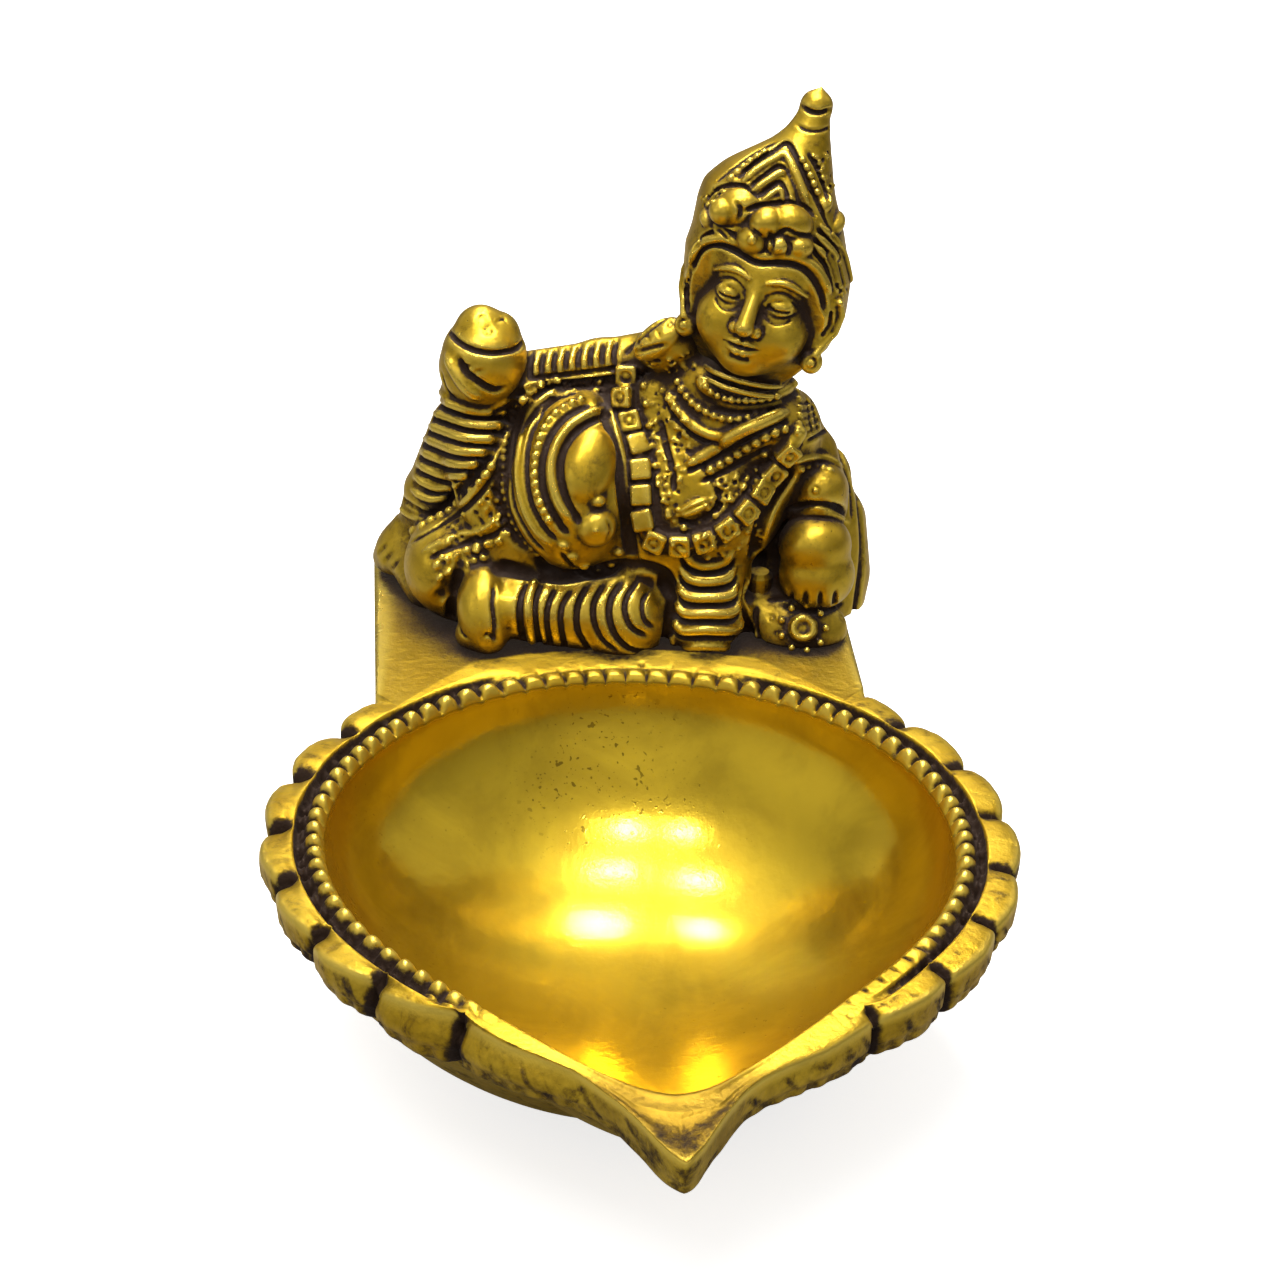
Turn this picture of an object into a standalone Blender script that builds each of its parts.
"""Cast-brass diya (oil lamp) with a reclining devotional figure on a ledge behind the bowl.

Frame: metres, +Z up, spout towards -Y, figure behind the bowl on the +Y side.
Origin: middle of the lamp's footprint, on the table plane.
In piece names, left is -X and right is +X. The figure faces the spout, so its right arm is at -X.

Pieces
  oil_bowl                   bowl, scalloped petal rim, spout and rear ledge, one casting
  bowl_foot                  low turned disc under the bowl
  foot_screw                 countersunk screw that holds the foot to the bowl
  rear_support               flange with two legs that carries the ledge's overhang
  support_screw_left/right   screws from the flange into the ledge
  figure                     figure with crown, held pot and bolster, one casting
  figure_screw_left/right    screws from below the ledge into the figure

The cut_ and guide_ objects are hidden operands of the boolean modifiers.
"""

import math

import bmesh
import bpy
from mathutils import Vector

# ---------------------------------------------------------------- shared dimensions
# Metres, unless marked "in R": those are multiples of RIM_R.
# Plan angles are degrees from the back (+Y), or from the front (-Y) where marked.
RIM_R = 0.038              # circle through the notches between the petals
RIM_HEIGHT = 0.0258        # table to the top face of the rim and ledge
RIM_THICK = 0.0040         # height of the rim's side wall
SPOUT_TIP = 1.44           # spout tip from the bowl's axis, in R
LEDGE_BACK = 1.625         # ledge's back edge from the bowl's axis, in R
BELLY_DEPTH = 0.0226       # rim to the bowl's underside
GAP = 0.0003               # clearance between neighbouring pieces
OVERCUT = 0.002            # how far a cutter runs past the face it opens

BOWL_Y = (SPOUT_TIP - LEDGE_BACK) * RIM_R / 2     # bowl's axis in the lamp's frame
UNDERSIDE = RIM_HEIGHT - BELLY_DEPTH
FOOT_TOP = UNDERSIDE - GAP
LEDGE_UNDERSIDE = RIM_HEIGHT - RIM_THICK
FLANGE_TOP = LEDGE_UNDERSIDE - GAP
FLANGE_THICK = 0.0022

# Screws and their holes
SHANK_R = 0.0016
HOLE_R = SHANK_R + GAP
HEAD_R = 0.0030
HEAD_HEIGHT = 0.0018       # pan head
SIDES = ("left", "right")
FIGURE_SCREWS = ((-0.22, 1.16), (0.44, 1.16))     # x, y from the bowl's axis, in R
SUPPORT_SCREWS = ((-0.48, 1.51), (0.48, 1.51))


def from_bowl(x, y, z=0.0):
    """Place given in R from the bowl's axis and the rim's top face, in the lamp's frame."""
    return Vector((x * RIM_R, y * RIM_R + BOWL_Y, z * RIM_R + RIM_HEIGHT))


# ---------------------------------------------------------------- materials
def brass(name, colour, roughness):
    material = bpy.data.materials.new(name)
    material.use_nodes = True
    shader = material.node_tree.nodes["Principled BSDF"]
    shader.inputs["Base Color"].default_value = (*colour, 1.0)
    shader.inputs["Metallic"].default_value = 1.0
    shader.inputs["Roughness"].default_value = roughness
    material.diffuse_color = (*colour, 1.0)
    return material


# ---------------------------------------------------------------- solids
def finish(bm, name, material=None, smooth=True):
    """Turn the bmesh into a linked object with outward normals."""
    bmesh.ops.recalc_face_normals(bm, faces=bm.faces)
    mesh = bpy.data.meshes.new(name)
    bm.to_mesh(mesh)
    bm.free()
    if material:
        mesh.materials.append(material)
    if smooth:
        mesh.shade_smooth()
        mesh.set_sharp_from_angle(angle=math.radians(35))
    obj = bpy.data.objects.new(name, mesh)
    bpy.context.scene.collection.objects.link(obj)
    return obj


def skin(name, rings, material=None):
    """Closed body over rings of points; the first and last ring are single points."""
    bm = bmesh.new()
    rows = [[bm.verts.new(point) for point in ring] for ring in rings]
    steps = max(len(row) for row in rows)
    for lower, upper in zip(rows, rows[1:]):
        for k in range(steps):
            n = (k + 1) % steps
            corners = (lower[k % len(lower)], lower[n % len(lower)],
                       upper[n % len(upper)], upper[k % len(upper)])
            bm.faces.new(list(dict.fromkeys(corners)))    # at a single point, a triangle
    return finish(bm, name, material)


def circle(radius, z, steps):
    """Points round Z, or one point on the axis when the radius is 0."""
    if radius == 0:
        return [Vector((0, 0, z))]
    angles = [2 * math.pi * k / steps for k in range(steps)]
    return [Vector((radius * math.cos(a), radius * math.sin(a), z)) for a in angles]


def lathe(name, profile, x, y, material=None, steps=20):
    """Body turned about a vertical axis at x, y from (radius, z) pairs."""
    obj = skin(name, [circle(radius, z, steps) for radius, z in profile], material)
    obj.location = (x, y, 0)
    return obj


def limb(name, start, end, start_r, end_r, material=None, steps=14, rows=9):
    """Tapered limb with rounded ends, swept from start to end."""
    axis = end - start
    turn = Vector((0, 0, 1)).rotation_difference(axis.normalized())
    rings = []
    for row in range(rows + 1):
        latitude = math.pi * (row / rows - 0.5)
        radius, base = (start_r, 0) if latitude < 0 else (end_r, axis.length)
        width = 0 if row in (0, rows) else radius * math.cos(latitude)
        ring = circle(width, radius * math.sin(latitude) + base, steps)
        rings.append([turn @ point + start for point in ring])
    return skin(name, rings, material)


def box(name, low, high, material=None):
    bm = bmesh.new()
    bmesh.ops.create_cube(bm, size=1.0)
    for vert in bm.verts:
        for i in range(3):
            vert.co[i] = low[i] if vert.co[i] < 0 else high[i]
    return finish(bm, name, material, smooth=False)


def combine(body, other, operation):
    """Add a boolean modifier to the body and hide its operand from renders."""
    modifier = body.modifiers.new(other.name, "BOOLEAN")
    modifier.operation = operation
    modifier.solver = "EXACT"
    modifier.object = other
    other.hide_render = True
    other.display_type = "WIRE"


def drill(body, name, place, low, high):
    """Screw hole from height low to high, at a place given in R from the bowl's axis."""
    x, y, _ = from_bowl(*place)
    profile = [(0, low), (HOLE_R, low), (HOLE_R, high), (0, high)]
    combine(body, lathe(name, profile, x, y), "DIFFERENCE")


# ---------------------------------------------------------------- bowl
# Petals
PETAL_START = 54.5         # first notch, degrees
PETAL_PITCH = 15.7         # notch to notch, degrees
PETAL_COUNT = 6            # full petals on each side
PETAL_BULGE = 0.035        # how far a petal stands out past the notches, in R
PETAL_STEPS = 4

# Spout
SPOUT_TIP_HALF = 0.019     # half width of the blunt tip, in R
SPOUT_BEAK = 0.305         # the pointed beak's share of the reach, in R
BEAK_SPREAD = 6.3          # how quickly the beak's flanks fall back, degrees from the front
SHOULDER_END = 32.2        # where the broad shoulder's curve runs out, degrees from the front
SPOUT_STEPS = 8
TIP_THICK = 0.0046         # height of the side wall at the tip
TIP_THICK_SPREAD = 25.0    # degrees from the front

# Opening, and the bead and groove round it
OPENING = 0.865            # radius at the back and sides, in R
OPENING_NOSE = 1.175       # reach into the spout, in R
OPENING_SPREAD = 20.8      # degrees from the front
LIP_WIDTH = 0.018          # bevel at the bead's inner edge, in R
LIP_DROP = 0.0006
BEAD_WIDTH = 0.055         # opening to groove, in R
GROOVE_WIDTH = 0.032       # in R
GROOVE_DEPTH = 0.0010
GROOVE_FADE = 28.0         # where the groove has half its depth, degrees from the front
GROOVE_FADE_SPREAD = 4.0   # degrees

# Ledge
LEDGE_HALF = 0.718         # half width, in R
LEDGE_ROOT_Y = 0.735       # where its sides meet the petals, from the bowl's axis, in R
ROOT_STEP = 0.6            # from the ledge's root to the next plan point, degrees
CORNER_ANGLE = math.degrees(math.atan2(LEDGE_HALF, LEDGE_BACK))
ROOT_ANGLE = math.degrees(math.atan2(LEDGE_HALF, LEDGE_ROOT_Y))
BACK_STEPS = 3             # along half of the back edge
SIDE_STEPS = 4             # along one side edge

# Cup and belly
BOWL_DEPTH = 0.0192        # rim to the bowl's inner bottom
CUP_STEPS = 7
BELLY_SCALE = 0.985        # belly's top radius, as a share of the opening's
BELLY_NOSE_DROP = 0.02     # how much smaller that share is at the front
BELLY_NOSE_SPREAD = 20.0   # degrees from the front
BELLY_OUTSET = 0.00156     # added to that share of the opening
BELLY_FLAT = 0.31 * RIM_R  # radius of the flat under the bowl
BELLY_STEPS = 6

# Screw holes
LEDGE_HOLE_BELOW = 0.010   # start of the ledge's cutters, below the rim's top face
LEDGE_HOLE_ABOVE = 0.004   # end of the figure screws' cutters, above that face
BLIND_HOLE_COVER = 0.0013  # brass left above the support screws' holes
BOSS_HOLE_DEPTH = 0.0022   # foot screw's hole, up from the underside


def from_front(angle):
    return 180.0 - abs(angle)


def falloff(front, spread, power=2):
    """1 at the front of the bowl, falling to 0 round the sides."""
    return math.exp(-(front / spread) ** power)


def opening(angle):
    nose = (OPENING_NOSE - OPENING) * falloff(from_front(angle), OPENING_SPREAD, 1.55)
    return RIM_R * (OPENING + nose)


def outline(angle):
    """Plan radius of the rim's outer edge: ledge, then petals, then spout."""
    turn = abs(angle)
    if turn <= ROOT_ANGLE:
        side = LEDGE_HALF / max(math.sin(math.radians(turn)), 1e-6)
        back = LEDGE_BACK / math.cos(math.radians(turn))
        return RIM_R * min(side, back)
    petal = (turn - PETAL_START) / PETAL_PITCH
    if petal < PETAL_COUNT:
        # A negative value is the part petal between the ledge and the first notch.
        bulge = math.sqrt(max(math.sin(math.pi * (petal % 1.0)), 0.0))
        return RIM_R * (1.0 + PETAL_BULGE * bulge)
    front = from_front(angle)
    beak = SPOUT_BEAK * falloff(front, BEAK_SPREAD, 1.5)
    shoulder = (SPOUT_TIP - 1.0 - SPOUT_BEAK) * (1.0 - (front / SHOULDER_END) ** 2) ** 0.8
    return RIM_R * (1.0 + beak + shoulder)


def plan_angles():
    """Angles of the bowl's sections, right round, closer together towards the spout's tip."""
    half = [0.0]
    half += [CORNER_ANGLE * k / BACK_STEPS for k in range(1, BACK_STEPS + 1)]
    half += [CORNER_ANGLE + (ROOT_ANGLE - CORNER_ANGLE) * k / SIDE_STEPS
             for k in range(1, SIDE_STEPS + 1)]
    half += [ROOT_ANGLE + ROOT_STEP, (ROOT_ANGLE + PETAL_START) / 2]
    half += [PETAL_START + PETAL_PITCH * (petal + k / PETAL_STEPS)
             for petal in range(PETAL_COUNT) for k in range(PETAL_STEPS)]
    last_notch = from_front(PETAL_START + PETAL_PITCH * PETAL_COUNT)
    half += [180.0 - last_notch * (1 - k / SPOUT_STEPS) ** 1.5 for k in range(SPOUT_STEPS)]
    half.append(180.0 - math.degrees(math.atan2(SPOUT_TIP_HALF, SPOUT_TIP)))
    return half + [180.0] + [-angle for angle in reversed(half[1:])]


def bowl_section(angle):
    """(radius, z from the rim's top face) from the cup's bottom, over the rim, to the underside."""
    front = from_front(angle)
    mouth = opening(angle)
    edge = outline(angle)
    groove = 1.0 / (1.0 + math.exp((GROOVE_FADE - front) / GROOVE_FADE_SPREAD))

    def past_mouth(width, least):
        """Radius at a width in R outside the opening; it shrinks to the share least at the spout."""
        return mouth + width * RIM_R * (least + (1 - least) * groove)

    section = []
    for k in range(1, CUP_STEPS):
        share = math.sin(math.pi / 2 * k / CUP_STEPS)
        section.append((mouth * share, -BOWL_DEPTH * (1 - share ** 2.3) ** 0.5))

    thick = RIM_THICK + (TIP_THICK - RIM_THICK) * falloff(front, TIP_THICK_SPREAD)
    belly_share = BELLY_SCALE - BELLY_NOSE_DROP * falloff(front, BELLY_NOSE_SPREAD)
    belly = mouth * belly_share + BELLY_OUTSET
    section += [
        (mouth, -LIP_DROP),
        (mouth + LIP_WIDTH * RIM_R, 0.0),
        (past_mouth(BEAD_WIDTH, least=0.4), 0.0),
        (past_mouth(BEAD_WIDTH + GROOVE_WIDTH / 2, least=0.45), -GROOVE_DEPTH * groove),
        (past_mouth(BEAD_WIDTH + GROOVE_WIDTH, least=0.5), 0.0),
        (edge, 0.0),
        (edge, -thick),
        (belly, -thick),
    ]

    for k in range(1, BELLY_STEPS):
        drop = k / BELLY_STEPS
        spread = (1 - drop ** 1.7) ** 0.62
        section.append((BELLY_FLAT + (belly - BELLY_FLAT) * spread,
                        -thick - (BELLY_DEPTH - thick) * drop))
    section.append((BELLY_FLAT, -BELLY_DEPTH))
    return section


def make_bowl(material):
    sections = []
    for angle in plan_angles():
        sine = math.sin(math.radians(angle))
        cosine = math.cos(math.radians(angle))
        sections.append([(radius * sine, radius * cosine + BOWL_Y, z + RIM_HEIGHT)
                         for radius, z in bowl_section(angle)])
    cup_bottom = (0, BOWL_Y, RIM_HEIGHT - BOWL_DEPTH)
    underside = (0, BOWL_Y, UNDERSIDE)
    bowl = skin("oil_bowl", [[cup_bottom], *zip(*sections), [underside]], material)

    low = RIM_HEIGHT - LEDGE_HOLE_BELOW
    for k, place in enumerate(FIGURE_SCREWS):
        drill(bowl, f"cut_ledge_{k}", place, low, RIM_HEIGHT + LEDGE_HOLE_ABOVE)
    for k, place in enumerate(SUPPORT_SCREWS):
        drill(bowl, f"cut_flange_{k}", place, low, RIM_HEIGHT - BLIND_HOLE_COVER)
    drill(bowl, "cut_boss", (0, 0), 0.0, UNDERSIDE + BOSS_HOLE_DEPTH)


# ---------------------------------------------------------------- foot
FOOT_R_TOP = 0.335 * RIM_R
FOOT_R_BOTTOM = 0.40 * RIM_R
FOOT_EDGE = 0.0008         # height of the foot's upright outer edge
FOOT_BEVEL_INSET = 0.0008  # bevel above that edge
FOOT_BEVEL_TOP = 0.0014
FOOT_NECK = 0.0020         # where the foot reaches its top radius
CONE_START = 0.0004        # height at which the countersink and the screw's head start to taper


def make_foot(material):
    foot = lathe("bowl_foot", [
        (0, 0),
        (FOOT_R_BOTTOM, 0),
        (FOOT_R_BOTTOM, FOOT_EDGE),
        (FOOT_R_BOTTOM - FOOT_BEVEL_INSET, FOOT_BEVEL_TOP),
        (FOOT_R_TOP, FOOT_NECK),
        (FOOT_R_TOP, FOOT_TOP),
        (0, FOOT_TOP),
    ], 0, BOWL_Y, material, steps=40)
    sink_r = HEAD_R + GAP
    countersink = lathe("cut_countersink", [
        (0, -OVERCUT),
        (sink_r, -OVERCUT),
        (sink_r, CONE_START),
        (HOLE_R, CONE_START + sink_r - HOLE_R),
        (HOLE_R, FOOT_TOP + OVERCUT),
        (0, FOOT_TOP + OVERCUT),
    ], 0, BOWL_Y)
    combine(foot, countersink, "DIFFERENCE")


# ---------------------------------------------------------------- screws
FOOT_SCREW_BOTTOM = 0.0003      # head's face above the table
FOOT_SCREW_REACH = 0.0018       # up from the bowl's underside
SUPPORT_SCREW_REACH = 0.0046    # shank's length
FIGURE_SCREW_REACH = 0.0115
SLOT_HALF_LENGTH = HEAD_R * 1.3
SLOT_HALF_WIDTH = 0.0003
SLOT_DEPTH = 0.0006
POINT_HEIGHT = 0.0005           # bevel at the shank's end


def driver_slot(screw, x, y, z):
    """Slot along X in the head's lower face, which is at height z."""
    slot = box(f"cut_slot_{screw.name}",
               (x - SLOT_HALF_LENGTH, y - SLOT_HALF_WIDTH, z - SLOT_DEPTH),
               (x + SLOT_HALF_LENGTH, y + SLOT_HALF_WIDTH, z + SLOT_DEPTH))
    combine(screw, slot, "DIFFERENCE")


def make_foot_screw(material):
    top = UNDERSIDE + FOOT_SCREW_REACH
    screw = lathe("foot_screw", [
        (0, FOOT_SCREW_BOTTOM),
        (HEAD_R, FOOT_SCREW_BOTTOM),
        (HEAD_R, CONE_START),
        (SHANK_R, CONE_START + HEAD_R - SHANK_R),
        (SHANK_R, top),
        (0, top),
    ], 0, BOWL_Y, material)
    driver_slot(screw, 0, BOWL_Y, FOOT_SCREW_BOTTOM)


def make_pan_screws(name, places, seat, reach, material):
    """Pair of slotted pan-head screws, heads just below the seat, shanks upwards."""
    head_top = seat - GAP
    head_bottom = head_top - HEAD_HEIGHT
    tip = head_top + reach
    for side, place in zip(SIDES, places):
        x, y, _ = from_bowl(*place)
        screw = lathe(f"{name}_{side}", [
            (0, head_bottom),
            (HEAD_R * 0.72, head_bottom),
            (HEAD_R, head_top - HEAD_HEIGHT * 0.6),
            (HEAD_R, head_top),
            (SHANK_R, head_top),
            (SHANK_R, tip - POINT_HEIGHT),
            (SHANK_R * 0.7, tip),
            (0, tip),
        ], x, y, material)
        driver_slot(screw, x, y, head_bottom)


# ---------------------------------------------------------------- rear support
FLANGE_HALF = 0.62         # half width, in R
FLANGE_FRONT = 1.29        # front and back edges from the bowl's axis, in R
FLANGE_BACK = 1.60
PANEL_FRONT = 1.30         # panel's front face, in R
PANEL_THICK = 0.0045       # along Y
PANEL_TOP_DROP = 0.0010    # panel's top below the flange's top face
LEG_WIDTH = 0.0075
LEG_FLARE = 0.0006         # how far a leg's outer side spreads at the table
LEG_FLARE_HEIGHT = 0.004
ARCH_HEIGHT = 0.0135
ARCH_STEPS = 16


def arched_panel(half_width):
    """Panel with a rounded arch between two legs flared at the foot, extruded along Y."""
    side = half_width - LEG_FLARE
    inner = side - LEG_WIDTH
    left = [(-side, FLANGE_TOP - PANEL_TOP_DROP), (-side, LEG_FLARE_HEIGHT),
            (-half_width, 0.0), (-inner, 0.0)]
    arch = [(-inner * math.cos(a), ARCH_HEIGHT * math.sin(a) ** 0.8)
            for a in (math.pi * k / ARCH_STEPS for k in range(1, ARCH_STEPS))]
    points = left + arch + [(-x, z) for x, z in reversed(left)]

    front_y = from_bowl(0, PANEL_FRONT).y
    bm = bmesh.new()
    front = [bm.verts.new((x, front_y, z)) for x, z in points]
    rear = [bm.verts.new((x, front_y + PANEL_THICK, z)) for x, z in points]
    bm.faces.new(front)
    bm.faces.new(list(reversed(rear)))
    for k in range(len(points)):
        n = (k + 1) % len(points)
        bm.faces.new((front[n], front[k], rear[k], rear[n]))
    return finish(bm, "guide_panel", smooth=False)


def make_rear_support(material):
    low = from_bowl(-FLANGE_HALF, FLANGE_FRONT)
    high = from_bowl(FLANGE_HALF, FLANGE_BACK)
    bottom = FLANGE_TOP - FLANGE_THICK
    support = box("rear_support", (low.x, low.y, bottom), (high.x, high.y, FLANGE_TOP), material)
    combine(support, arched_panel(high.x), "UNION")
    for k, place in enumerate(SUPPORT_SCREWS):
        drill(support, f"cut_support_{k}", place, bottom - OVERCUT, FLANGE_TOP + OVERCUT)


# ---------------------------------------------------------------- figure
FIGURE_HOLE_DEPTH = 0.0080     # above the rim's top face

# Rounded limbs, all in R: name, start, end (x, y from the bowl's axis, z from the rim's
# top face), radius at the start, radius at the end. The first is the body the rest join.
MASSES = (
    ("torso",       (0.10, 1.33, 0.36),   (0.34, 1.30, 0.66),   0.27, 0.24),
    ("belly",       (-0.10, 1.26, 0.45),  (-0.06, 1.25, 0.49),  0.255, 0.25),
    ("hips",        (-0.36, 1.36, 0.13),  (0.52, 1.36, 0.16),   0.20, 0.22),
    ("flank",       (-0.16, 1.42, 0.66),  (0.16, 1.40, 0.70),   0.155, 0.19),
    ("back",        (-0.34, 1.42, 0.42),  (0.56, 1.38, 0.40),   0.155, 0.20),
    ("shoulders",   (0.14, 1.35, 0.83),   (0.58, 1.30, 0.70),   0.105, 0.125),
    ("neck",        (0.37, 1.25, 0.74),   (0.38, 1.20, 0.92),   0.14, 0.115),
    ("head",        (0.370, 1.17, 1.00),  (0.395, 1.19, 1.10),  0.165, 0.20),
    ("crown_base",  (0.410, 1.21, 1.16),  (0.445, 1.21, 1.28),  0.205, 0.165),
    ("crown_peak",  (0.455, 1.21, 1.32),  (0.53, 1.20, 1.60),   0.135, 0.045),
    ("crown_knob",  (0.532, 1.20, 1.64),  (0.534, 1.20, 1.652), 0.05, 0.05),
    ("right_arm",   (0.12, 1.39, 0.86),   (-0.34, 1.37, 0.82),  0.09, 0.085),
    ("held_pot",    (-0.395, 1.30, 0.84), (-0.39, 1.30, 0.93),  0.125, 0.115),
    ("raised_shin", (-0.44, 1.37, 0.66),  (-0.60, 1.44, 0.17),  0.14, 0.12),
    ("raised_foot", (-0.60, 1.44, 0.08),  (-0.650, 1.52, 0.07), 0.09, 0.065),
    ("thigh",       (-0.41, 1.40, 0.58),  (-0.12, 1.40, 0.27),  0.14, 0.17),
    ("folded_leg",  (-0.28, 1.13, 0.12),  (0.05, 1.10, 0.13),   0.125, 0.14),
    ("front_foot",  (-0.385, 1.11, 0.09), (-0.37, 1.11, 0.15),  0.09, 0.09),
    ("lap",         (-0.20, 1.25, 0.16),  (0.35, 1.25, 0.18),   0.15, 0.16),
    ("seat",        (-0.30, 1.18, 0.07),  (0.52, 1.18, 0.07),   0.135, 0.135),
    ("seat_rear",   (-0.45, 1.40, 0.07),  (0.56, 1.40, 0.07),   0.15, 0.15),
    ("drape",       (0.27, 1.13, 0.10),   (0.26, 1.15, 0.24),   0.155, 0.14),
    ("left_arm",    (0.58, 1.26, 0.68),   (0.645, 1.18, 0.42),  0.115, 0.125),
    ("left_hand",   (0.63, 1.13, 0.32),   (0.615, 1.09, 0.24),  0.12, 0.115),
    ("bolster",     (0.585, 1.11, 0.13),  (0.585, 1.42, 0.14),  0.155, 0.165),
    ("cushion",     (0.57, 1.36, 0.22),   (0.56, 1.36, 0.52),   0.20, 0.17),
)


def make_mass(name, mass, material=None):
    _, start, end, start_r, end_r = mass
    return limb(name, from_bowl(*start), from_bowl(*end),
                start_r * RIM_R, end_r * RIM_R, material)


def make_figure(material):
    figure = make_mass("figure", MASSES[0], material)
    for mass in MASSES[1:]:
        combine(figure, make_mass(f"guide_{mass[0]}", mass), "UNION")
    # Trim everything below the ledge's top face, plus clearance.
    trim = box("cut_seat", (-0.06, -0.02, 0.0), (0.06, 0.08, RIM_HEIGHT + GAP))
    combine(figure, trim, "DIFFERENCE")
    for k, place in enumerate(FIGURE_SCREWS):
        drill(figure, f"cut_figure_{k}", place,
              RIM_HEIGHT - OVERCUT, RIM_HEIGHT + FIGURE_HOLE_DEPTH)


# ---------------------------------------------------------------- build
for old in list(bpy.data.objects):
    bpy.data.objects.remove(old, do_unlink=True)

polished = brass("polished_brass", colour=(0.78, 0.58, 0.14), roughness=0.24)
aged = brass("aged_brass", colour=(0.62, 0.45, 0.11), roughness=0.38)
plain = brass("plain_brass", colour=(0.66, 0.50, 0.18), roughness=0.45)
screw_brass = brass("screw_brass", colour=(0.70, 0.55, 0.22), roughness=0.35)

make_bowl(polished)
make_foot(plain)
make_foot_screw(screw_brass)
make_rear_support(plain)
make_pan_screws("support_screw", SUPPORT_SCREWS, seat=FLANGE_TOP - FLANGE_THICK,
                reach=SUPPORT_SCREW_REACH, material=screw_brass)
make_pan_screws("figure_screw", FIGURE_SCREWS, seat=LEDGE_UNDERSIDE,
                reach=FIGURE_SCREW_REACH, material=screw_brass)
make_figure(aged)
